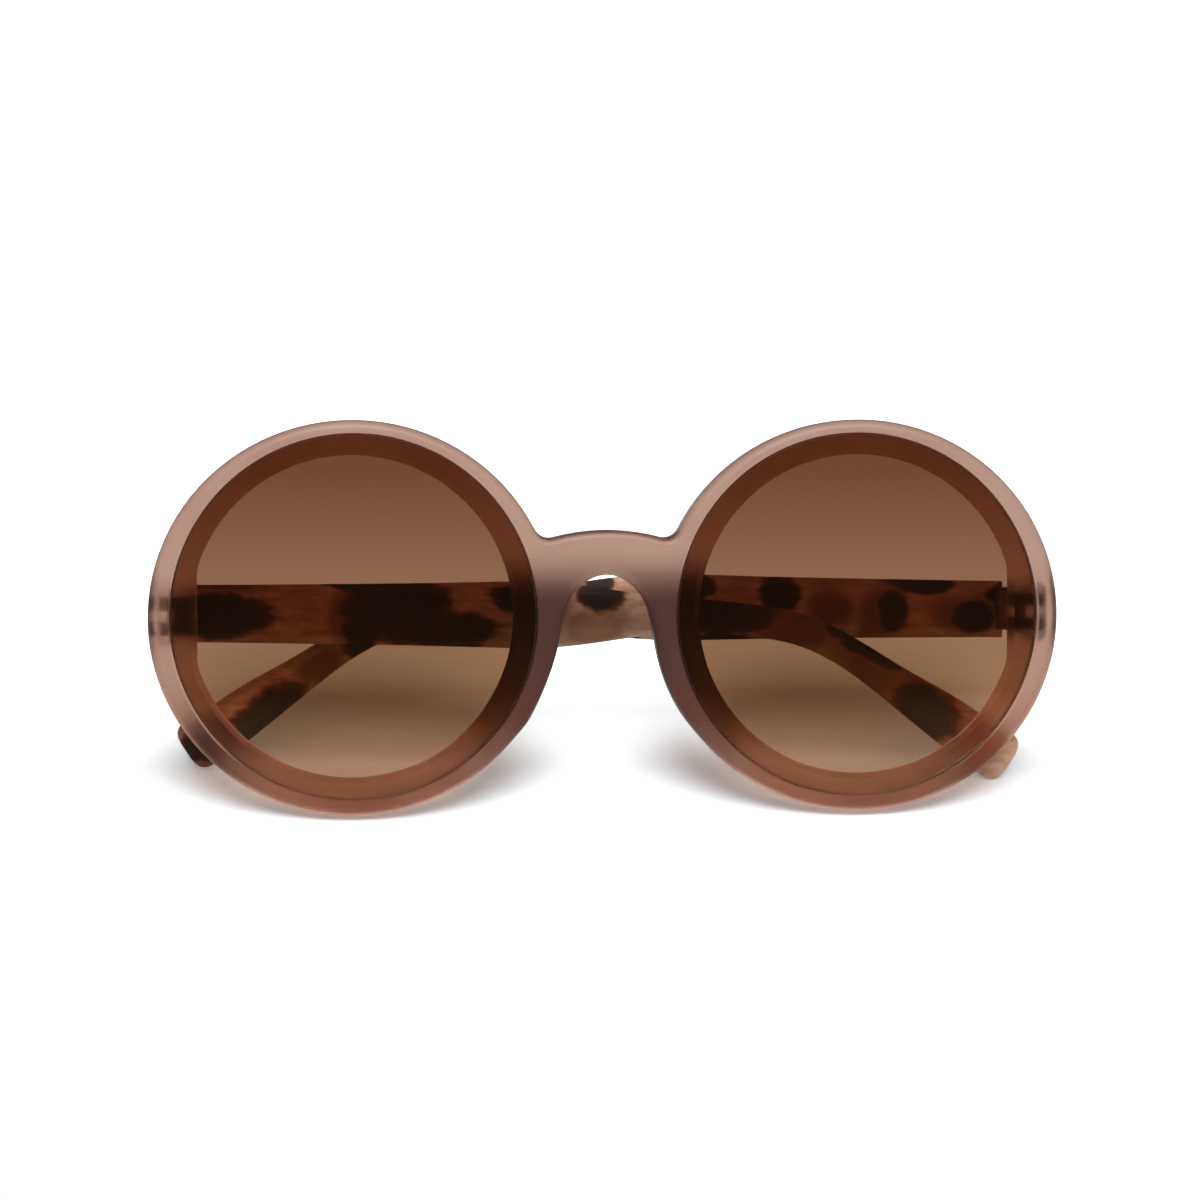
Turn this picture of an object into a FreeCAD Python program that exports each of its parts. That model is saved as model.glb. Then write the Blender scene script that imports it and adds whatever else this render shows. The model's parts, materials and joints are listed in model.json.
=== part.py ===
import FreeCAD, Part
import math
import os

# Oversized round sunglasses, standing folded on their rims and temple tips. Millimetres.
# The front is drawn upright: X to the viewer's right, Y from the front face to the back, Z up,
# with the origin on the front face, midway between the lens centres. It is then leaned back.

# Lenses: flat discs, set into the rims from the front
lens_diameter = 58.0
lens_thickness = 2.0
lens_gap = 22.2
lens_edge_break = 0.2
lens_fit = 0.05
lens_recess = 0.3
lens_bed = 0.04

# Rims of the moulded front: walls around the lenses, and the ledge behind them
rim_side_wall = 3.2
rim_top_wall = 2.3
rim_offset = 0.2
rim_sink = 0.2
rim_thickness = 4.8
rim_front_round = 1.3
rim_back_round = 0.9
rebate_break = 0.25
lens_ledge = 3.45
aperture_offset = 0.3
aperture_flat_cut = 1.15
aperture_corner_round = 6.0
aperture_break = 0.9

# Bridge and nose
bridge_top = 13.6
bridge_top_radius = 32.9
bridge_height = 7.15
bridge_corner_round = 2.6
nose_shoulder_drop = 2.55
nose_shoulder_share = 0.62
nose_wing = 0.65
nose_wing_angle = 8.6
nose_foot = 0.3
nose_foot_angle = 30.7
nose_join_angle = 41.0

# Moulded nose pads, behind the nose side of each rim
pad_depth = 5.2
pad_width = 4.7
pad_inset = 0.5
pad_start_angle = -4.0
pad_end_angle = 41.0
pad_draft = 1.1
pad_end_draft = 7.6
pad_round = 0.9

# Temples, measured from the hinge pin along the straight bar
temple_thickness = 2.8
temple_height = 9.3
temple_axis_height = 0.1
tip_stop = 1.0
temple_drop = 22.6
tip_round = 2.2
tip_steps = 4
temple_bow = 3.2
inner_bevel_height = 1.4
inner_bevel_depth = 0.8
outer_bevel_height = 0.9
outer_bevel_depth = 0.7
butt_gap = 0.1

# Even stations from hinge to tip: shares of the height at the hinge, and of the drop
temple_height_shares = (
    1.0, 1.01, 1.03, 1.05, 1.075, 1.11, 1.155, 1.16, 0.98, 0.72, 0.61, 0.57, 0.55, 0.555, 0.66, 0.84, 0.9
)
temple_drop_shares = (0, 0, 0, 0, 0, 0, 0, 0, 0, 0, 0.005, 0.03, 0.095, 0.26, 0.505, 0.755, 1)
bow_start_share = 0.23
hook_share = 0.83

# Stiffening wire in each temple
wire_height = 1.6
wire_thickness = 0.9
wire_fit = 0.05
wire_end_share = 0.88

# Hinges: three knuckles on a screw, sunk in the endpiece and in the temple
pin_edge = 6.0
pin_depth = 14.1
pin_inset = 1.9
knuckle_diameter = 2.8
hinge_margin = 1.55
middle_knuckle_height = 2.0
knuckle_gap = 0.05
leaf_thickness = 0.8
leaf_clearance = 0.6
prong_width = 1.8
prong_height_share = 0.36
prong_length = 5.0
tang_thickness = 1.0
tang_margin = 2.45
tang_length = 9.0
neck_depth = 1.0
neck_start = 0.4
block_width = 2.6
block_round = 0.5

# Screw
screw_diameter = 1.4
screw_fit = 0.03
screw_head_diameter = 2.3
screw_head_height = 0.6
screw_slot_width = 0.4
screw_slot_depth = 0.3

# Stance: lean of the front, and room between the folded temples
lean_angle = 20.0
rest_gap = 0.35

# Cutters run past the faces that they open, and edges are found by place to within a tolerance
overrun = 2.0
find_tolerance = 0.01
find_spots = 5

# Sizes that follow from those above
origin = FreeCAD.Vector(0, 0, 0)
across = FreeCAD.Vector(1, 0, 0)
backward = FreeCAD.Vector(0, 1, 0)
upward = FreeCAD.Vector(0, 0, 1)
lens_x = (lens_diameter + lens_gap) / 2
rim_x = lens_x + rim_offset
rim_width = lens_diameter + 2 * rim_side_wall
rim_height = lens_diameter + 2 * rim_top_wall
rebate_depth = lens_recess + lens_thickness + lens_bed
aperture_diameter = lens_diameter - 2 * lens_ledge
aperture_flat = aperture_diameter / 2 - aperture_flat_cut
pin_x = rim_x + rim_width / 2 - pin_edge
temple_reach = 2 * pin_x - tip_stop
knuckle_radius = knuckle_diameter / 2
leaf_depth = pin_depth - knuckle_radius - leaf_clearance - leaf_thickness
hinge_height = temple_height - 2 * hinge_margin
prong_height = prong_height_share * hinge_height
tang_height = temple_height - 2 * tang_margin
temple_inner = pin_x + pin_inset
temple_outer = temple_inner + temple_thickness
temple_middle = (temple_inner + temple_outer) / 2


def point(x, y, z):
    return FreeCAD.Vector(x, y, z)


def box(low, high):
    return Part.makeBox(high.x - low.x, high.y - low.y, high.z - low.z, low)


def mirrored(shape):
    return shape.mirror(origin, across)


def one_solid(shape):
    return shape.removeSplitter().Solids[0]


def edges_in_plane(shape, depth, centre_x=None, reach=None):
    """Edges that lie at one depth, all of them or those within reach of a lens axis."""
    found = []
    for edge in shape.Edges:
        spots = edge.discretize(find_spots)
        flat = all(abs(spot.y - depth) < find_tolerance for spot in spots)
        near = centre_x is None or all(math.hypot(spot.x - centre_x, spot.z) < reach for spot in spots)
        if flat and near:
            found.append(edge)
    return found


# Front


def on_rim(angle, proud):
    """Point of the right rim's nose side, some degrees below its centre and proud of its edge."""
    turn = math.radians(angle)
    across_reach = rim_width / 2 + proud
    down_reach = rim_height / 2 + proud
    return point(rim_x - across_reach * math.cos(turn), 0, -rim_sink - down_reach * math.sin(turn))


def rim_curve():
    """Outer edge of the right rim: a little wider than it is tall."""
    centre = point(rim_x, 0, -rim_sink)
    side = centre + across * (rim_width / 2)
    top = centre + upward * (rim_height / 2)
    if rim_width < rim_height:
        return Part.Ellipse(top, centre + centre - side, centre)
    return Part.Ellipse(side, top, centre)


def bridge_corner():
    """Where the arc of the bridge's top meets the right rim's edge."""
    top = Part.Circle(point(0, 0, bridge_top - bridge_top_radius), backward, bridge_top_radius)
    met = [point(spot.X, spot.Y, spot.Z) for spot in top.intersectCC(rim_curve())]
    return max(met, key=lambda spot: spot.z)


def flipped(spot):
    return point(-spot.x, spot.y, spot.z)


def nose_curve():
    """Inner edge of the nose: up one rim's flank, over the arch and down the other."""
    arch_top = bridge_top - bridge_height
    shoulder_x = nose_shoulder_share * (rim_x - rim_width / 2)
    shoulder = point(shoulder_x, 0, arch_top - nose_shoulder_drop)
    join = on_rim(nose_join_angle, 0)
    flank = [join, on_rim(nose_foot_angle, nose_foot), on_rim(nose_wing_angle, nose_wing), shoulder]
    turn = math.radians(nose_join_angle)
    leaving = point(-math.sin(turn) * rim_width, 0, math.cos(turn) * rim_height).normalize()
    nose = Part.BSplineCurve()
    nose.interpolate(
        Points=flank + [point(0, 0, arch_top)] + [flipped(spot) for spot in reversed(flank)],
        InitialTangent=leaving,
        FinalTangent=point(leaving.x, 0, -leaving.z),
    )
    return nose


def front_outline():
    corner = bridge_corner()
    rim = rim_curve()
    ends = [rim.parameter(on_rim(nose_join_angle, 0)), rim.parameter(corner)]
    if ends[0] > ends[1]:
        ends[0] -= 2 * math.pi
    right_rim = Part.ArcOfEllipse(rim, ends[0], ends[1]).toShape()
    top = Part.Arc(flipped(corner), point(0, 0, bridge_top), corner).toShape()
    nose = nose_curve().toShape()
    return Part.Face(Part.Wire([top, right_rim, nose, mirrored(right_rim)]))


def rim_blank():
    blank = front_outline().extrude(backward * rim_thickness)
    corner = bridge_corner()
    inside = []
    for edge in blank.Edges:
        spot = edge.CenterOfMass
        if math.hypot(abs(spot.x) - corner.x, spot.z - corner.z) < find_tolerance:
            inside.append(edge)
    blank = blank.makeFillet(bridge_corner_round, inside)
    blank = blank.makeFillet(rim_front_round, edges_in_plane(blank, 0))
    return blank.makeFillet(rim_back_round, edges_in_plane(blank, rim_thickness))


def aperture_cutter(side):
    """Round hole with a flat on the temple side, its corners eased."""
    centre = point(side * (lens_x + aperture_offset), 0, 0)
    length = rim_thickness + overrun
    hole = Part.makeCylinder(aperture_diameter / 2, length, centre, backward)
    reach = aperture_diameter
    nose_edge = min(-side * reach, side * aperture_flat)
    temple_edge = max(-side * reach, side * aperture_flat)
    room = box(point(centre.x + nose_edge, 0, -reach), point(centre.x + temple_edge, length, reach))
    hole = hole.common(room)
    corners = []
    for edge in hole.Edges:
        along = edge.tangentAt(edge.FirstParameter)
        on_flat = abs(edge.CenterOfMass.x - centre.x - side * aperture_flat) < find_tolerance
        if abs(along.y) > math.cos(math.radians(lean_angle)) and on_flat:
            corners.append(edge)
    return hole.makeFillet(aperture_corner_round, corners)


def nose_pad():
    """Right nose pad: a curved slab along the rim, narrower and shorter at its back."""

    def ring(depth, inset, end_inset):
        outer = rim_width / 2 - pad_inset - inset
        inner = outer - pad_width + 2 * inset
        ease = math.degrees(end_inset / outer)
        first = math.radians(180 + pad_start_angle + ease)
        last = math.radians(180 + pad_end_angle - ease)
        middle = (first + last) / 2

        def spot(radius, angle):
            return point(rim_x + radius * math.cos(angle), depth, radius * math.sin(angle) - rim_sink)

        outer_arc = Part.Arc(spot(outer, first), spot(outer, middle), spot(outer, last))
        inner_arc = Part.Arc(spot(inner, last), spot(inner, middle), spot(inner, first))
        foot = Part.LineSegment(spot(outer, last), spot(inner, last))
        head = Part.LineSegment(spot(inner, first), spot(outer, first))
        return Part.Wire([curve.toShape() for curve in (outer_arc, foot, inner_arc, head)])

    root = ring(rim_thickness - rim_back_round, 0, 0)
    tip = ring(rim_thickness + pad_depth, pad_draft, pad_end_draft)
    pad = Part.makeLoft([root, tip], True, True)
    rising = [edge for edge in pad.Edges if edge.BoundBox.YLength > pad_depth]
    pad = pad.makeFillet(pad_round, rising)
    return pad.makeFillet(pad_round, edges_in_plane(pad, rim_thickness + pad_depth))


def temple_section(height):
    """Bevelled section of a temple as pairs: outward from the inner face, up from the middle."""
    top = height / 2
    inner_top = top - inner_bevel_height * height / temple_height
    outer_top = top - outer_bevel_height * height / temple_height
    half = [
        (0, inner_top),
        (inner_bevel_depth, top),
        (temple_thickness - outer_bevel_depth, top),
        (temple_thickness, outer_top),
    ]
    return half + [(out, -up) for out, up in reversed(half)]


def endpiece():
    """Right endpiece: the temple's section carried forward to the rim, with a block beside it."""
    root = rim_thickness - rim_back_round
    end = pin_depth - butt_gap / 2
    corners = []
    for out, up in temple_section(temple_height):
        corners.append(point(temple_inner + out, root, temple_axis_height + up))
    bar = Part.Face(Part.makePolygon(corners + corners[:1])).extrude(backward * (end - root))
    top = temple_height / 2 - inner_bevel_height
    block = box(
        point(temple_inner - block_width, root, temple_axis_height - top),
        point(temple_middle, leaf_depth, temple_axis_height + top),
    )
    exposed = [edge for edge in block.Edges if edge.CenterOfMass.x < temple_inner - block_width / 2]
    exposed = [edge for edge in exposed if edge.CenterOfMass.y > rim_thickness]
    return bar.fuse(block.makeFillet(block_round, exposed))


def frame_front():
    front = rim_blank()
    for side in (-1, 1):
        lens_axis = point(side * lens_x, 0, 0)
        rebate_radius = lens_diameter / 2 + lens_fit
        mouth = Part.makeCone(
            rebate_radius + rebate_break, rebate_radius, rebate_break, lens_axis, backward
        )
        front = front.cut(Part.makeCylinder(rebate_radius, rebate_depth, lens_axis, backward))
        front = front.cut(mouth)
        front = front.cut(aperture_cutter(side))
        reach = aperture_diameter / 2 + aperture_offset + find_tolerance
        front = front.makeChamfer(
            aperture_break, edges_in_plane(front, rebate_depth, side * lens_x, reach)
        )
        front = front.makeFillet(
            aperture_break, edges_in_plane(front, rim_thickness, side * lens_x, reach)
        )
    for added in (nose_pad(), endpiece()):
        front = front.fuse([added, mirrored(added)])
    leaf = front_hinge()
    return one_solid(front.cut([leaf, mirrored(leaf)]))


def lens():
    """Right lens, seated on the flange behind it."""
    disc = Part.makeCylinder(lens_diameter / 2, lens_thickness, point(lens_x, lens_recess, 0), backward)
    rims = [edge for edge in disc.Edges if edge.BoundBox.YLength < lens_edge_break]
    return disc.makeChamfer(lens_edge_break, rims)


# Hinges


def hinge_level(share):
    """Height of a share of the hinge above its middle."""
    return temple_axis_height + share * hinge_height / 2


def front_hinge():
    """Right front leaf: forked plate with two prongs in the endpiece, and the two outer knuckles."""
    prong_x = temple_middle
    outer = prong_x + prong_width / 2
    plate = box(
        point(pin_x - knuckle_radius, leaf_depth, hinge_level(-1)),
        point(outer, leaf_depth + leaf_thickness, hinge_level(1)),
    )
    fork_half = hinge_height / 2 - prong_height
    fork = box(
        point(outer - prong_width, leaf_depth, temple_axis_height - fork_half),
        point(outer, leaf_depth + leaf_thickness, temple_axis_height + fork_half),
    )
    leaf = plate.cut(fork)
    for side in (-1, 1):
        prong_ends = sorted([hinge_level(side), hinge_level(side) - side * prong_height])
        prong = box(
            point(outer - prong_width, leaf_depth - prong_length, prong_ends[0]),
            point(outer, leaf_depth, prong_ends[1]),
        )
        inner = temple_axis_height + side * (middle_knuckle_height / 2 + knuckle_gap)
        low, high = sorted([inner, hinge_level(side)])
        web = box(
            point(pin_x - knuckle_radius, leaf_depth, low),
            point(pin_x + knuckle_radius, pin_depth, high),
        )
        barrel = Part.makeCylinder(knuckle_radius, high - low, point(pin_x, pin_depth, low), upward)
        leaf = leaf.fuse([prong, web, barrel])
    bore_low = point(pin_x, pin_depth, hinge_level(-1) - overrun)
    bore = Part.makeCylinder(screw_diameter / 2 + screw_fit, hinge_height + 2 * overrun, bore_low, upward)
    return one_solid(leaf.cut(bore))


def temple_hinge():
    """Right temple leaf, temple open: middle knuckle, neck, and the tang inside the temple."""
    low = temple_axis_height - middle_knuckle_height / 2
    high = temple_axis_height + middle_knuckle_height / 2
    barrel = Part.makeCylinder(knuckle_radius, middle_knuckle_height, point(pin_x, pin_depth, low), upward)
    tang_outer = temple_middle + tang_thickness / 2
    neck_front = pin_depth + neck_start
    neck = box(point(pin_x, neck_front, low), point(tang_outer, neck_front + neck_depth, high))
    tang = box(
        point(tang_outer - tang_thickness, neck_front, temple_axis_height - tang_height / 2),
        point(tang_outer, neck_front + tang_length, temple_axis_height + tang_height / 2),
    )
    bore_low = point(pin_x, pin_depth, low - overrun)
    bore_radius = screw_diameter / 2 + screw_fit
    bore = Part.makeCylinder(bore_radius, middle_knuckle_height + 2 * overrun, bore_low, upward)
    return one_solid(barrel.fuse([neck, tang]).cut(bore))


def hinge_screw():
    """Right hinge screw, driven from above, its slotted head on the upper knuckle."""
    foot = point(pin_x, pin_depth, hinge_level(-1))
    crown = point(pin_x, pin_depth, hinge_level(1))
    shank = Part.makeCylinder(screw_diameter / 2, hinge_height, foot, upward)
    head = Part.makeCylinder(screw_head_diameter / 2, screw_head_height, crown, upward)
    slot_floor = crown.z + screw_head_height - screw_slot_depth
    slot = box(
        point(pin_x - screw_head_diameter, pin_depth - screw_slot_width / 2, slot_floor),
        point(pin_x + screw_head_diameter, pin_depth + screw_slot_width / 2, slot_floor + overrun),
    )
    return one_solid(shank.fuse(head).cut(slot))


# Temples


def bow(share):
    """How far the temple has curved inward at a share of its reach."""
    past = max(0.0, share - bow_start_share) / (1 - bow_start_share)
    return temple_bow * past**2


def fold_short():
    """Degrees that the right temple, folded onto the left one, stops short of square."""
    last = len(temple_drop_shares) - 1
    shares = [place / last for place in range(1, last)]
    slants = []
    for share in shares:
        other_share = 2 * pin_x / temple_reach - share
        if max(share, other_share) < hook_share:
            room = temple_thickness + rest_gap + bow(share) - bow(other_share)
            slants.append(math.asin(room / (share * temple_reach)))
    return math.degrees(max(slants))


def tip_rise(short):
    """Half of what the right tip, standing further back, has to be set higher than the left one."""
    back = temple_reach * math.sin(math.radians(short))
    return back * math.tan(math.radians(lean_angle)) / 2


def centre_line(rise):
    """Middle of the temple's inner face at each station: share of reach, level, section height."""
    last = len(temple_drop_shares) - 1
    line = []
    for place, (tall, down) in enumerate(zip(temple_height_shares, temple_drop_shares)):
        share = max(place / last, butt_gap / 2 / temple_reach)
        level = temple_axis_height - down * temple_drop + share * rise
        line.append((share, level, tall * temple_height))
    return line


def slopes(line):
    """Angle of the centre line at each station, level at the hinge."""
    angles = [0.0]
    for before, after in zip(line[:-1], line[2:] + line[-1:]):
        angles.append(math.atan2(after[1] - before[1], (after[0] - before[0]) * temple_reach))
    return angles


def section_wire(share, level, slope, pairs):
    """A section set square to the centre line of the open right temple."""
    corners = []
    for out, up in pairs:
        corners.append(
            point(
                temple_inner - bow(share) + out,
                pin_depth + share * temple_reach - up * math.sin(slope),
                level + up * math.cos(slope),
            )
        )
    return Part.makePolygon(corners + corners[:1])


def temple_blank(rise):
    """The bar and its hooked paddle, then the rounded end."""
    line = centre_line(rise)
    angles = slopes(line)
    bar = []
    for (share, level, tall), slope in zip(line, angles):
        bar.append(section_wire(share, level, slope, temple_section(tall)))
    share, level, tall = line[-1]
    slope = angles[-1]
    end = []
    for step in range(tip_steps + 1):
        turn = math.pi / 2 * step / tip_steps
        past = tip_round * math.sin(turn)
        lost = tip_round * (1 - math.cos(turn))
        end_share = share + past * math.cos(slope) / temple_reach
        end_level = level + past * math.sin(slope)
        end.append(section_wire(end_share, end_level, slope, temple_section(tall - 2 * lost)))
    return Part.makeLoft(bar, True, False).fuse(Part.makeLoft(end, True, False))


def core_wire(rise, room):
    """Wire along the middle of the temple, or with some room the hole that it lies in."""
    line = centre_line(rise)
    near = (temple_thickness - wire_thickness) / 2 - room
    far = (temple_thickness + wire_thickness) / 2 + room
    top = wire_height / 2 + room
    pairs = [(near, top), (far, top), (far, -top), (near, -top)]
    start = (neck_start + tang_length) / temple_reach
    wires = [section_wire(start, temple_axis_height + start * rise, 0, pairs)]
    step = line[-1][0] / (len(line) - 1)
    for (share, level, tall), slope in zip(line, slopes(line)):
        if start + step / 2 < share < wire_end_share:
            wires.append(section_wire(share, level, slope, pairs))
    return Part.makeLoft(wires, True, False)


def temple(rise):
    blank = temple_blank(rise).cut(core_wire(rise, wire_fit))
    return one_solid(blank.cut(temple_hinge()))


# Assembly


def folded(shape, side, short):
    """Swings an open temple of one side inward, stopping short of square by some degrees."""
    turned = shape.copy()
    turned.rotate(point(side * pin_x, pin_depth, 0), upward, side * (90 - short))
    return turned


def build_nodes():
    nodes = {"frame_front": frame_front()}
    fixed = {"lens": lens(), "front_hinge": front_hinge(), "hinge_screw": hinge_screw()}
    for name, shape in fixed.items():
        nodes[name + "_left"] = mirrored(shape)
        nodes[name + "_right"] = shape
    right_short = fold_short()
    rise_at_tip = tip_rise(right_short)
    for side, short, ending in ((-1, 0, "_left"), (1, right_short, "_right")):
        rise = side * rise_at_tip
        moving = {"temple": temple(rise), "temple_hinge": temple_hinge(), "core_wire": core_wire(rise, 0)}
        for name, shape in moving.items():
            placed = mirrored(shape) if side < 0 else shape
            nodes[name + ending] = folded(placed, side, short)
    return nodes


def stand(nodes):
    """Leans everything back and puts the origin under the middle of the whole."""
    for shape in nodes.values():
        shape.rotate(origin, across, -lean_angle)
    room = Part.makeCompound(list(nodes.values())).optimalBoundingBox(False, False)
    shift = point(0, -(room.YMin + room.YMax) / 2, -room.ZMin)
    for shape in nodes.values():
        shape.translate(shift)
    return shift


nodes = build_nodes()
shift = stand(nodes)
os.makedirs("parts", exist_ok=True)
for name, shape in nodes.items():
    shape.exportStep("parts/" + name + ".step")
    room = shape.optimalBoundingBox(False, False)
    print(name, shape.isValid(), len(shape.Solids), round(shape.Volume, 2), round(room.ZMin, 3))
lean = math.radians(lean_angle)
pin_y = pin_depth * math.cos(lean) + temple_axis_height * math.sin(lean) + shift.y
pin_z = temple_axis_height * math.cos(lean) - pin_depth * math.sin(lean) + shift.z
print("hinge pin", round(pin_x, 4), round(pin_y, 4), round(pin_z, 4), "shift", shift)
print("right temple opens by", round(90 - fold_short(), 3), "degrees")
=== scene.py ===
import json
import math

import bpy
from mathutils import Matrix, Vector


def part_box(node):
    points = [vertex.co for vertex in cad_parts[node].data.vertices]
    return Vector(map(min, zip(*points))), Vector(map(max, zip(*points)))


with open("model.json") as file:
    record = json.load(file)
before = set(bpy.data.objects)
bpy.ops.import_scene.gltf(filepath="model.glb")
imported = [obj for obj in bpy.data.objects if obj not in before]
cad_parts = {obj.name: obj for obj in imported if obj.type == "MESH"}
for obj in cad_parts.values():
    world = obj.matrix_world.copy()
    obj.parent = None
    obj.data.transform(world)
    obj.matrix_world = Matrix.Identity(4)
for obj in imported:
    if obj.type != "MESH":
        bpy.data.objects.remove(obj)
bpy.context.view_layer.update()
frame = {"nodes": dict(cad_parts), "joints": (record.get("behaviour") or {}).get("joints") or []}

# Front: one injection moulding of dusty rose plastic, with both rims, the bridge, the nose pads and
# the endpieces. It is tumbled matt, so what lies behind it shows through as a soft blur.
mm = 0.001
rose_tints = ((0.3, "#c29a89"), (0.7, "#cca897"))
# Painted shade: the tone of the nose pads, the darker and redder tone of the rims' foot, and the tone where
# both meet.
painted_pad_shade = "#5e3f38"
painted_foot_shade_tints = ((0.3, "#d09b87"), (0.7, "#dbaa95"))
painted_foot_and_pad_shade = "#704438"
# Heights above the lens middles between which painted shade turns the rose darker and redder towards the
# foot, where the floor seen through the rim lies in shadow.
painted_foot_shade_fade = (-3 * mm, -20 * mm)
rose_dye = "#c08f64"
rose_dye_reach = 25 * mm
rose_ior = 1.49
rose_sheen = (0.35, 0.35, 0.35, 1)
rose_roughness = (0.34, 0.43)
cloud_size = 14 * mm
cloud_detail = 3
frost_size = 0.3 * mm
frost_detail = 2
frost_depth = 0.01 * mm
frost_strength = 0.15
# Painted shade on the nose pads and the nose side of each rim, where the temples and their shadow lie
# behind; partly also the deeper colour of the thick pad plastic. Where it begins to fade and where it ends,
# measured aside from the nose line and up from the lens middles, and how much light the plastic lets
# through there.
pad_side = (19 * mm, 26 * mm)
pad_top = (2 * mm, 11 * mm)
pad_foot = (-15 * mm, -33 * mm)
pad_shade_clearness = 0.5


def linear(code):
    """Colour written as an sRGB hex value, as the linear RGBA that a shader takes."""
    shares = [int(code[place:place + 2], 16) / 255 for place in (1, 3, 5)]
    return [s / 12.92 if s <= 0.04045 else ((s + 0.055) / 1.055) ** 2.4 for s in shares] + [1]


def add(tree, kind, inputs, stops=(), **settings):
    """Adds a node with its settings, its inputs as values or links, and a ramp's colour stops."""
    node = tree.nodes.new(kind)
    for name, value in settings.items():
        setattr(node, name, value)
    for name, value in inputs.items():
        if isinstance(value, bpy.types.NodeSocket):
            tree.links.new(value, node.inputs[name])
        else:
            node.inputs[name].default_value = value
    while stops and len(node.color_ramp.elements) < len(stops):
        node.color_ramp.elements.new(len(node.color_ramp.elements) / len(stops))
    for number, (place, code) in enumerate(stops):
        node.color_ramp.elements[number].position = place
        node.color_ramp.elements[number].color = linear(code)
    return node


def new_material(name):
    """Empty node material, and the place on a piece that its pattern is drawn at."""
    material = bpy.data.materials.new(name)
    material.use_nodes = True
    material.node_tree.nodes.clear()
    place = add(material.node_tree, "ShaderNodeTexCoord", {}).outputs["Object"]
    return material, material.node_tree, place


def dress(node, material):
    """Puts a material in a CAD node's slots."""
    for slot in frame["nodes"][node].material_slots:
        slot.material = material


def middle(node):
    """Middle of a CAD node's box at rest."""
    low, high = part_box(node)
    return (low + high) / 2


up = Vector(frame["joints"][0]["axis"])
lean = math.atan2(up.y, up.z)
upright = Matrix.Rotation(lean, 3, "X")
front_middle = (middle("lens_left") + middle("lens_right")) / 2


def frosted_rose_plastic():
    """Milky moulded plastic with a tumbled skin: soft clouds of colour, and a fine grain that blurs.
    Painted shade darkens the nose pads and the nose sides of the rims, and turns the rims darker and redder
    towards their foot.
    """
    material, tree, place = new_material("frosted_rose_plastic")
    cloud = add(
        tree, "ShaderNodeTexNoise", {"Vector": place, "Scale": 1 / cloud_size, "Detail": cloud_detail}
    )
    rose = add(tree, "ShaderNodeValToRGB", {"Fac": cloud.outputs["Fac"]}, stops=rose_tints)
    foot_shade_ramp = add(tree, "ShaderNodeValToRGB", {"Fac": cloud.outputs["Fac"]}, stops=painted_foot_shade_tints)
    from_middle = add(
        tree,
        "ShaderNodeMapping",
        {"Vector": place, "Rotation": (lean, 0, 0), "Location": -(upright @ front_middle)},
    )
    spot = add(tree, "ShaderNodeSeparateXYZ", {"Vector": from_middle.outputs["Vector"]})
    aside = add(tree, "ShaderNodeMath", {0: spot.outputs["X"]}, operation="ABSOLUTE")
    # Mask of the painted shade on the nose pads and the nose sides of the rims.
    pad_shade_mask = 1
    for measure, (fade_start, fade_end) in (
        (aside.outputs["Value"], pad_side),
        (spot.outputs["Z"], pad_top),
        (spot.outputs["Z"], pad_foot),
    ):
        within = add(
            tree,
            "ShaderNodeMapRange",
            {"Value": measure, "From Min": fade_start, "From Max": fade_end, "To Min": 1, "To Max": 0},
            interpolation_type="SMOOTHSTEP",
        )
        pad_shade_mask = add(
            tree, "ShaderNodeMath", {0: pad_shade_mask, 1: within.outputs["Result"]}, operation="MULTIPLY"
        ).outputs["Value"]
    # Share of the painted shade towards the foot of the rims.
    low = add(
        tree,
        "ShaderNodeMapRange",
        {"Value": spot.outputs["Z"], "From Min": painted_foot_shade_fade[0], "From Max": painted_foot_shade_fade[1]},
        interpolation_type="SMOOTHSTEP",
    )
    skin = add(
        tree,
        "ShaderNodeMix",
        {0: low.outputs["Result"], 6: rose.outputs["Color"], 7: foot_shade_ramp.outputs["Color"]},
        data_type="RGBA",
    )
    # Painted shade tone for the nose pads, redder towards the foot.
    pad_shade_tint = add(
        tree,
        "ShaderNodeMix",
        {0: low.outputs["Result"], 6: linear(painted_pad_shade), 7: linear(painted_foot_and_pad_shade)},
        data_type="RGBA",
    )
    tint = add(
        tree,
        "ShaderNodeMix",
        {0: pad_shade_mask, 6: skin.outputs[2], 7: pad_shade_tint.outputs[2]},
        data_type="RGBA",
    )
    # Where the pad shade is painted, the plastic lets less light through.
    clear = add(tree, "ShaderNodeMapRange", {"Value": pad_shade_mask, "To Min": 1, "To Max": pad_shade_clearness})
    frost = add(
        tree, "ShaderNodeTexNoise", {"Vector": place, "Scale": 1 / frost_size, "Detail": frost_detail}
    )
    gloss = add(
        tree,
        "ShaderNodeMapRange",
        {"Value": frost.outputs["Fac"], "To Min": rose_roughness[0], "To Max": rose_roughness[1]},
    )
    bump = add(
        tree,
        "ShaderNodeBump",
        {"Height": frost.outputs["Fac"], "Strength": frost_strength, "Distance": frost_depth},
    )
    moulding = add(
        tree,
        "ShaderNodeBsdfPrincipled",
        {
            "Base Color": tint.outputs[2],
            "Roughness": gloss.outputs["Result"],
            "IOR": rose_ior,
            "Specular Tint": rose_sheen,
            "Transmission Weight": clear.outputs["Result"],
            "Normal": bump.outputs["Normal"],
        },
    )
    dye = add(
        tree, "ShaderNodeVolumeAbsorption", {"Color": linear(rose_dye), "Density": 1 / rose_dye_reach}
    )
    add(
        tree,
        "ShaderNodeOutputMaterial",
        {"Surface": moulding.outputs["BSDF"], "Volume": dye.outputs["Volume"]},
    )
    return material


dress("frame_front", frosted_rose_plastic())

# Lenses: flat discs of brown plastic, dip-dyed so that the tint fades from the brow to the cheek.
# Each is pressed into its rim from the front, onto the ledge behind it.
lens_low, lens_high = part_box("lens_left")
lens_radius = (lens_high.x - lens_low.x) / 2
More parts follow.
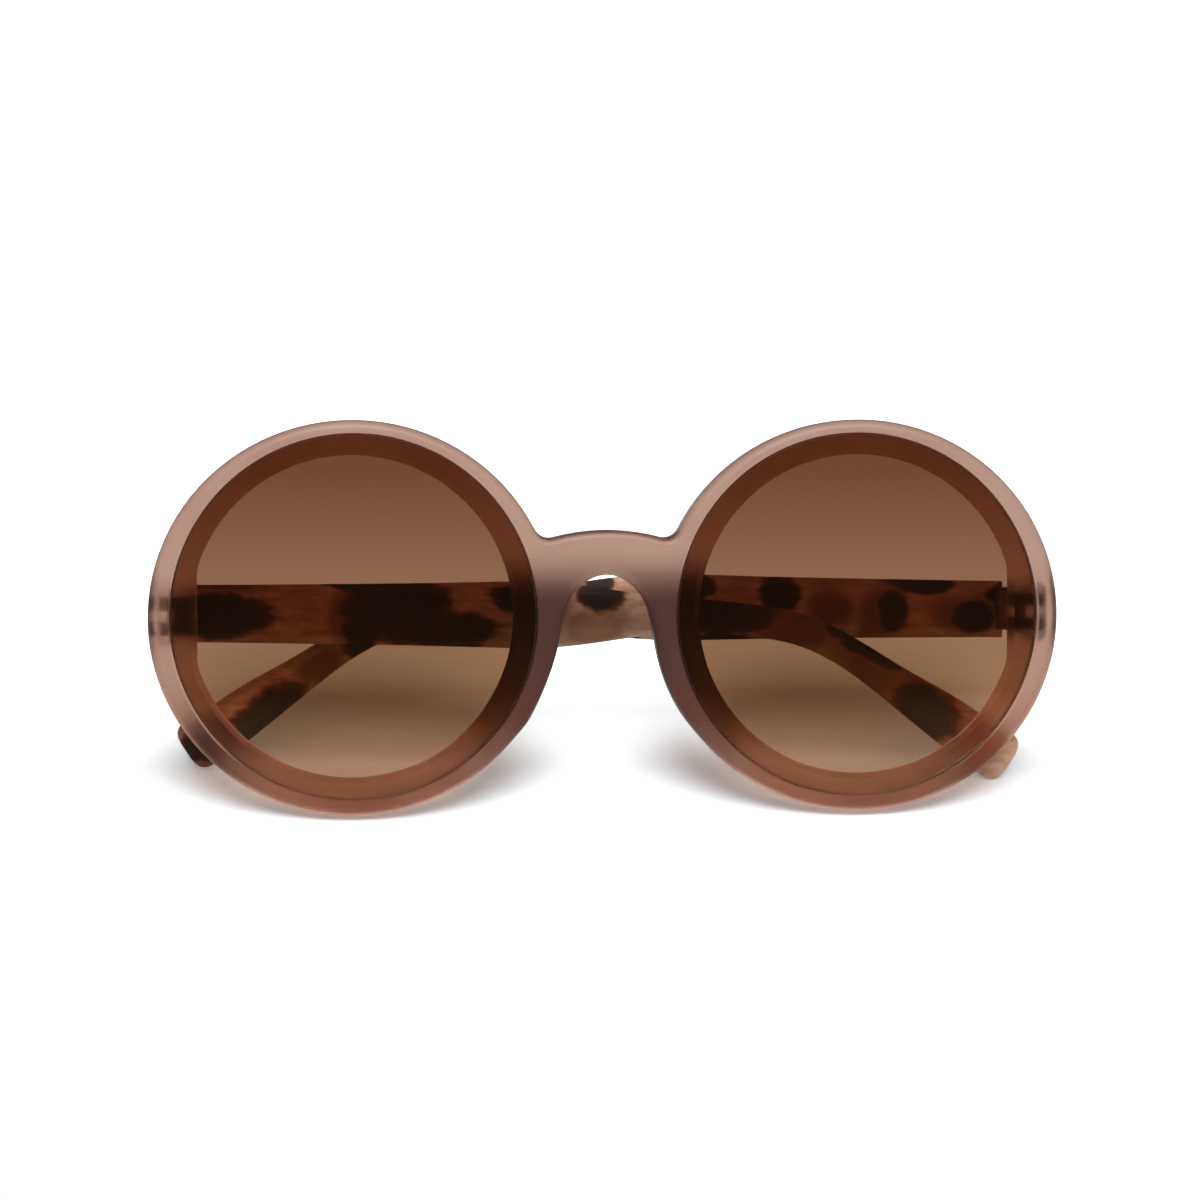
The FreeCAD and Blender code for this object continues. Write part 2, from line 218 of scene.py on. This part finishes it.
# Tint at each share of the lens's height, from its foot.
lens_tints = (
    (0.03, "#d8ccaf"),
    (0.1, "#f2dbc4"),
    (0.2, "#dcb48e"),
    (0.29, "#af835d"),
    (0.38, "#a27956"),
    (0.5, "#9a6f54"),
    (0.62, "#94674f"),
    (0.9, "#784b33"),
)
lens_ior = 1.5
lens_sheen = (0.5, 0.5, 0.5, 1)
polish_roughness = 0.03
dust_size = 6 * mm
dust_detail = 4
edge_tint = "#6a4430"
edge_width = 0.2 * mm
edge_roughness = 0.6
in_plane = (1, 0, 1)


def brown_gradient_lens(name, centre):
    """Dyed polycarbonate: clear, hard-coated and polished, with a trace of dust and a ground edge."""
    material, tree, place = new_material(name)
    across = add(
        tree,
        "ShaderNodeMapping",
        {"Vector": place, "Rotation": (lean, 0, 0), "Location": -(upright @ centre)},
    )
    height = add(tree, "ShaderNodeSeparateXYZ", {"Vector": across.outputs["Vector"]})
    share = add(
        tree,
        "ShaderNodeMapRange",
        {"Value": height.outputs["Z"], "From Min": -lens_radius, "From Max": lens_radius},
    )
    tint = add(tree, "ShaderNodeValToRGB", {"Fac": share.outputs["Result"]}, stops=lens_tints)
    flat = add(
        tree, "ShaderNodeVectorMath", {0: across.outputs["Vector"], 1: in_plane}, operation="MULTIPLY"
    )
    radius = add(tree, "ShaderNodeVectorMath", {0: flat.outputs["Vector"]}, operation="LENGTH")
    face = add(
        tree,
        "ShaderNodeMapRange",
        {
            "Value": radius.outputs["Value"],
            "From Min": lens_radius - 2 * edge_width,
            "From Max": lens_radius - edge_width,
            "To Min": 1,
            "To Max": 0,
        },
        interpolation_type="SMOOTHSTEP",
    )
    dust = add(tree, "ShaderNodeTexNoise", {"Vector": place, "Scale": 1 / dust_size, "Detail": dust_detail})
    polish = add(tree, "ShaderNodeMapRange", {"Value": dust.outputs["Fac"], "To Max": polish_roughness})
    gloss = add(
        tree,
        "ShaderNodeMix",
        {0: face.outputs["Result"], 2: edge_roughness, 3: polish.outputs["Result"]},
    )
    colour = add(
        tree,
        "ShaderNodeMix",
        {0: face.outputs["Result"], 6: linear(edge_tint), 7: tint.outputs["Color"]},
        data_type="RGBA",
    )
    lens = add(
        tree,
        "ShaderNodeBsdfPrincipled",
        {
            "Base Color": colour.outputs[2],
            "Roughness": gloss.outputs[0],
            "IOR": lens_ior,
            "Specular Tint": lens_sheen,
            "Transmission Weight": 1,
        },
    )
    add(tree, "ShaderNodeOutputMaterial", {"Surface": lens.outputs["BSDF"]})
    return material


for side in ("left", "right"):
    dress("lens_" + side, brown_gradient_lens("brown_gradient_lens_" + side, middle("lens_" + side)))

# Hinges: three-knuckle hinges of stamped steel on a slotted screw, with prongs in the endpiece and a tang
# in the temple. Each temple is stiffened by a flat steel wire that was shot into the hot plastic.
steel_tints = ((0.3, "#7b6b61"), (0.7, "#a69586"))
steel_roughness = (0.35, 0.55)
brush_length = 3 * mm
brush_width = 0.12 * mm
brush_detail = 3


def satin_steel():
    """Stamped and tumbled steel: grey, with faint drawn lines in its tone and gloss."""
    material, tree, place = new_material("satin_steel")
    drawn = add(
        tree,
        "ShaderNodeMapping",
        {"Vector": place, "Scale": (1 / brush_length, 1 / brush_width, 1 / brush_width)},
    )
    lines = add(
        tree, "ShaderNodeTexNoise", {"Vector": drawn.outputs["Vector"], "Scale": 1, "Detail": brush_detail}
    )
    tone = add(tree, "ShaderNodeValToRGB", {"Fac": lines.outputs["Fac"]}, stops=steel_tints)
    gloss = add(
        tree,
        "ShaderNodeMapRange",
        {"Value": lines.outputs["Fac"], "To Min": steel_roughness[0], "To Max": steel_roughness[1]},
    )
    metal = add(
        tree,
        "ShaderNodeBsdfPrincipled",
        {"Base Color": tone.outputs["Color"], "Roughness": gloss.outputs["Result"], "Metallic": 1},
    )
    add(tree, "ShaderNodeOutputMaterial", {"Surface": metal.outputs["BSDF"]})
    return material


steel = satin_steel()
for piece in ("front_hinge", "temple_hinge", "hinge_screw", "core_wire"):
    for side in ("left", "right"):
        dress(piece + "_" + side, steel)

# Temples: cut from pressed sheet of blonde tortoise, a honey plastic with dark brown blotches that bleed
# to amber at their edges, and paler brown clouds. Bevelled, polished to satin, and bent down at the ear.
# Blotches and clouds, in mm: along from the hinge pin, up from its middle, half length and half height,
# then the tilt in degrees.
left_blotches = (
    (3.6, -0.4, 8.6, 3.3, 0),
    (33.5, 0.6, 8.4, 4.6, 0),
    (29.0, 5.0, 9.0, 1.6, 6),
    (40.5, -2.8, 8.6, 2.5, 0),
    (28.0, -3.4, 2.8, 2.4, 0),
    (53.5, 2.5, 4.6, 1.9, 0),
    (66.6, 3.2, 3.4, 3.2, 0),
    (75.2, -0.9, 0.6, 0.4, 0),
    (86.0, -0.4, 8.6, 3.2, 0),
    (110.0, -4.4, 7.4, 2.7, 34),
    (119.6, -16.4, 5.4, 3.9, 38),
)
left_clouds = (
    (6.0, 4.9, 8.0, 1.4, 0),
    (25.0, -1.0, 3.0, 5.0, 0),
    (58.0, 0.5, 5.0, 4.0, 0),
    # This cloud is partly painted shade: it darkens the temple in the nose gap, where the bridge's shadow
    # falls.
    (66.0, -2.6, 7.0, 3.4, 0),
    (98.0, -2.0, 9.0, 5.0, 10),
    (116.0, -13.0, 16.0, 6.5, 37),
)
right_blotches = (
    (-1.6, 2.4, 3.6, 1.9, 0),
    (4.9, -1.1, 3.0, 2.3, 0),
    (13.4, 4.6, 5.0, 1.7, 0),
    (18.2, -0.4, 2.1, 2.7, 0),
    (36.6, 2.8, 2.8, 2.5, 0),
    (50.0, 3.9, 2.4, 2.2, 0),
    (45.9, -4.8, 4.2, 1.3, 0),
    (66.2, 4.6, 2.4, 1.4, 0),
    (63.2, -4.9, 3.4, 1.7, 0),
    (78.0, 0.6, 4.6, 2.6, 0),
    (92.0, -2.0, 3.4, 1.7, 12),
    (103.6, -3.6, 4.4, 2.4, 26),
    (120.0, -17.2, 6.4, 3.8, 38),
    (130.5, -20.5, 3.6, 3.0, 34),
)
right_clouds = (
    (5.4, -0.7, 7.5, 3.4, 0),
    (20.0, -0.6, 4.6, 4.4, 0),
    (28.2, 0.3, 4.4, 3.8, 0),
    (40.0, -3.0, 5.0, 2.6, 0),
    (70.0, 1.0, 6.0, 4.0, 0),
    (112.0, -9.0, 5.0, 3.2, 36),
    (131.0, -21.0, 6.0, 6.0, 34),
)
# Nearness to a spot, 1 at its outline and 0 in its middle: a ramp's stops are shares of ramp_reach.
ramp_reach = 1.6
blotch_tints = ((0.60, "#302524"), (0.74, "#3b2823"), (0.84, "#5c3d2b"), (0.95, "#9a6e4c"))
blotch_fade = (1.3, 1.7)
cloud_tint = "#7c5943"
cloud_fade = (0.5, 1.3)
honey_tints = ((0.3, "#b08466"), (0.65, "#cfae96"))
tortoise_ior = 1.49
tortoise_specular = 0.12
tortoise_roughness = (0.34, 0.46)
spot_melt = 0.3
swirl_size = 5 * mm
swirl_reach = 2.6 * mm
swirl_detail = 2
fray_size = 1.4 * mm
fray_reach = 0.8 * mm
streak_length = 7 * mm
streak_width = 1.2 * mm
streak_detail = 3
streak_share = 0.5
far_off = 9


def nearest_spot(tree, place, spots):
    """How near a place is to its nearest spot: under 1 within that spot's outline."""
    nearest = far_off
    for along, level, half_length, half_height, tilt in spots:
        spot = add(
            tree,
            "ShaderNodeMapping",
            {
                "Vector": place,
                "Location": (along * mm, 0, level * mm),
                "Rotation": (0, math.radians(tilt), 0),
                "Scale": (half_length * mm, 1, half_height * mm),
            },
            vector_type="TEXTURE",
        )
        away = add(tree, "ShaderNodeVectorMath", {0: spot.outputs["Vector"]}, operation="LENGTH")
        nearest = add(
            tree,
            "ShaderNodeMath",
            {0: nearest, 1: away.outputs["Value"], 2: spot_melt},
            operation="SMOOTH_MIN",
        ).outputs["Value"]
    return nearest


def blonde_tortoise(name, pin, mirror, blotches, clouds):
    """Pressed tortoise sheet: swirled blotches, amber at the edge, in a cloudy honey ground."""
    material, tree, place = new_material(name)
    hinge = Vector((mirror * pin.x, pin.y, pin.z))
    from_pin = add(
        tree,
        "ShaderNodeMapping",
        {
            "Vector": place,
            "Scale": (mirror, 1, 1),
            "Rotation": (lean, 0, 0),
            "Location": -(upright @ hinge),
        },
    ).outputs["Vector"]
    warped = from_pin
    for size, reach in ((swirl_size, swirl_reach), (fray_size, fray_reach)):
        noise = add(
            tree, "ShaderNodeTexNoise", {"Vector": from_pin, "Scale": 1 / size, "Detail": swirl_detail}
        )
        push = add(
            tree,
            "ShaderNodeVectorMath",
            {0: noise.outputs["Color"], 1: (reach, reach, reach), 2: (-reach / 2, -reach / 2, -reach / 2)},
            operation="MULTIPLY_ADD",
        )
        warped = add(
            tree, "ShaderNodeVectorMath", {0: warped, 1: push.outputs["Vector"]}, operation="ADD"
        ).outputs["Vector"]
    drawn = add(
        tree,
        "ShaderNodeMapping",
        {"Vector": warped, "Scale": (1 / streak_length, 1 / streak_width, 1 / streak_width)},
    )
    streak = add(
        tree, "ShaderNodeTexNoise", {"Vector": drawn.outputs["Vector"], "Scale": 1, "Detail": streak_detail}
    ).outputs["Fac"]
    honey = add(tree, "ShaderNodeValToRGB", {"Fac": streak}, stops=honey_tints)
    cloud = add(
        tree,
        "ShaderNodeMapRange",
        {
            "Value": nearest_spot(tree, warped, clouds),
            "From Min": cloud_fade[0],
            "From Max": cloud_fade[1],
            "To Min": 1,
            "To Max": 0,
        },
        interpolation_type="SMOOTHSTEP",
    )
    ground = add(
        tree,
        "ShaderNodeMix",
        {0: cloud.outputs["Result"], 6: honey.outputs["Color"], 7: linear(cloud_tint)},
        data_type="RGBA",
    )
    nearness = add(
        tree,
        "ShaderNodeMath",
        {0: streak, 1: streak_share, 2: nearest_spot(tree, warped, blotches)},
        operation="MULTIPLY_ADD",
    ).outputs["Value"]
    share = add(tree, "ShaderNodeMath", {0: nearness, 1: ramp_reach}, operation="DIVIDE")
    blotch_tint = add(tree, "ShaderNodeValToRGB", {"Fac": share.outputs["Value"]}, stops=blotch_tints)
    blotch = add(
        tree,
        "ShaderNodeMapRange",
        {
            "Value": nearness,
            "From Min": blotch_fade[0],
            "From Max": blotch_fade[1],
            "To Min": 1,
            "To Max": 0,
        },
        interpolation_type="SMOOTHSTEP",
    )
    colour = add(
        tree,
        "ShaderNodeMix",
        {0: blotch.outputs["Result"], 6: ground.outputs[2], 7: blotch_tint.outputs["Color"]},
        data_type="RGBA",
    )
    gloss = add(
        tree,
        "ShaderNodeMapRange",
        {"Value": streak, "To Min": tortoise_roughness[0], "To Max": tortoise_roughness[1]},
    )
    sheet = add(
        tree,
        "ShaderNodeBsdfPrincipled",
        {
            "Base Color": colour.outputs[2],
            "Roughness": gloss.outputs["Result"],
            "IOR": tortoise_ior,
            "Specular IOR Level": tortoise_specular,
        },
    )
    add(tree, "ShaderNodeOutputMaterial", {"Surface": sheet.outputs["BSDF"]})
    return material


for joint, side, mirror, blotches, clouds in (
    (frame["joints"][0], "left", 1, left_blotches, left_clouds),
    (frame["joints"][1], "right", -1, right_blotches, right_clouds),
):
    sheet = blonde_tortoise("blonde_tortoise_" + side, Vector(joint["pos_m"]), mirror, blotches, clouds)
    dress("temple_" + side, sheet)

# Floor: a flat sheet of white paper. It takes the object's soft shadow, and is lifted to white where the
# camera sees it. Further behind the object the lift grows into a painted glow that washes out the shadow
# the temples and bridge cast there, and the lift's faint cool tint greys the rose tinge of the shadow.
floor_half = 3.0
paper = "#edf0f3"
paper_glow = "#f8fdff"
paper_lift = 0.02
paper_shown = 0.18
# Painted glow behind the object: the camera lift it reaches, and the depths over which it grows.
behind_glow = 0.75
behind_glow_start = 2 * mm
behind_glow_end = 26 * mm

floor_mesh = bpy.data.meshes.new("floor")
floor_corners = [
    (-floor_half, -floor_half, 0),
    (floor_half, -floor_half, 0),
    (floor_half, floor_half, 0),
    (-floor_half, floor_half, 0),
]
floor_mesh.from_pydata(floor_corners, [], [(0, 1, 2, 3)])
floor = bpy.data.objects.new("floor", floor_mesh)
bpy.context.scene.collection.objects.link(floor)


def white_paper():
    """Matt paper, lifted to white where it is seen, and lifted further behind the object as a painted glow
    that washes out the shadow cast there.
    """
    material, tree, place = new_material("white_paper")
    depth = add(tree, "ShaderNodeSeparateXYZ", {"Vector": place})
    # The camera lift grows with depth into the painted glow behind the object.
    shown = add(
        tree,
        "ShaderNodeMapRange",
        {
            "Value": depth.outputs["Y"],
            "From Min": behind_glow_start,
            "From Max": behind_glow_end,
            "To Min": paper_shown,
            "To Max": behind_glow,
        },
        interpolation_type="SMOOTHSTEP",
    )
    path = add(tree, "ShaderNodeLightPath", {})
    lift = 0
    for ray, share in (
        ("Is Camera Ray", shown.outputs["Result"]),
        ("Is Glossy Ray", paper_lift),
        ("Is Transmission Ray", paper_lift),
    ):
        lift = add(
            tree, "ShaderNodeMath", {0: path.outputs[ray], 1: share, 2: lift}, operation="MULTIPLY_ADD"
        ).outputs["Value"]
    sheet = add(
        tree,
        "ShaderNodeBsdfPrincipled",
        {
            "Base Color": linear(paper),
            "Roughness": 1,
            "Specular IOR Level": 0,
            "Emission Color": linear(paper_glow),
            "Emission Strength": lift,
        },
    )
    add(tree, "ShaderNodeOutputMaterial", {"Surface": sheet.outputs["BSDF"]})
    return material


floor_mesh.materials.append(white_paper())

# Camera: a short telephoto at the photograph's view angle, fitted to the rims, the bridge and the temples.
# Its angles are measured from the front's own plane.
camera_yaw = math.radians(4.80)
camera_pitch = math.radians(1.97)
camera_roll = math.radians(-0.14)
camera_distance = 550 * mm
aim_across = -1.22 * mm
aim_up = 2.50 * mm
aim_depth = 1.3 * mm
focal_length = 104.07
sensor_width = 36
near_clip = 10 * mm
quarter_turn = math.radians(90)

standing = upright.inverted()
aim = front_middle - standing @ Vector((0, aim_depth, 0))
seen = Matrix.Rotation(camera_roll, 3, "Y") @ Matrix.Rotation(camera_pitch, 3, "X")
seen = seen @ Matrix.Rotation(camera_yaw, 3, "Z")
facing = standing @ seen.inverted()
camera_data = bpy.data.cameras.new("camera")
camera_data.lens = focal_length
camera_data.sensor_width = sensor_width
camera_data.clip_start = near_clip
camera = bpy.data.objects.new("camera", camera_data)
camera_place = aim + facing @ Vector((aim_across, -camera_distance, aim_up))
looking = facing @ Matrix.Rotation(quarter_turn, 3, "X")
camera.matrix_world = Matrix.Translation(camera_place) @ looking.to_4x4()
bpy.context.scene.collection.objects.link(camera)
bpy.context.scene.camera = camera

# Light: one soft lamp overhead, in a white tent whose camera side is dark, so that the polished lenses
# have nothing bright to mirror.
key_power = 3.4
key_rise = math.radians(54)
key_softness = math.radians(30)
tent_cloth = "#ffffff"
tent_light = 0.22
tent_dark = 0.02
tent_shown = 1
tent_edge = (0.5, 0.85)

key_data = bpy.data.lights.new("key_softbox", "SUN")
key_data.energy = key_power
key_data.angle = key_softness
key = bpy.data.objects.new("key_softbox", key_data)
key.rotation_euler = (quarter_turn - key_rise, 0, 0)
bpy.context.scene.collection.objects.link(key)

tent = bpy.data.worlds.new("white_tent")
tent.use_nodes = True
tent.node_tree.nodes.clear()
bpy.context.scene.world = tent
air = tent.node_tree
way = add(air, "ShaderNodeTexCoord", {}).outputs["Generated"]
camera_way = (camera_place - aim).normalized()
toward = add(air, "ShaderNodeVectorMath", {0: way, 1: camera_way}, operation="DOT_PRODUCT")
light = add(
    air,
    "ShaderNodeMapRange",
    {
        "Value": toward.outputs["Value"],
        "From Min": tent_edge[0],
        "From Max": tent_edge[1],
        "To Min": tent_light,
        "To Max": tent_dark,
    },
    interpolation_type="SMOOTHSTEP",
)
path = add(air, "ShaderNodeLightPath", {})
shown = add(
    air,
    "ShaderNodeMath",
    {0: path.outputs["Is Camera Ray"], 1: path.outputs["Is Transmission Ray"]},
    operation="MAXIMUM",
)
strength = add(
    air, "ShaderNodeMix", {0: shown.outputs["Value"], 2: light.outputs["Result"], 3: tent_shown}
)
wall = add(air, "ShaderNodeBackground", {"Color": linear(tent_cloth), "Strength": strength.outputs[0]})
add(air, "ShaderNodeOutputWorld", {"Surface": wall.outputs["Background"]})
bpy.context.scene.view_settings.view_transform = "Standard"
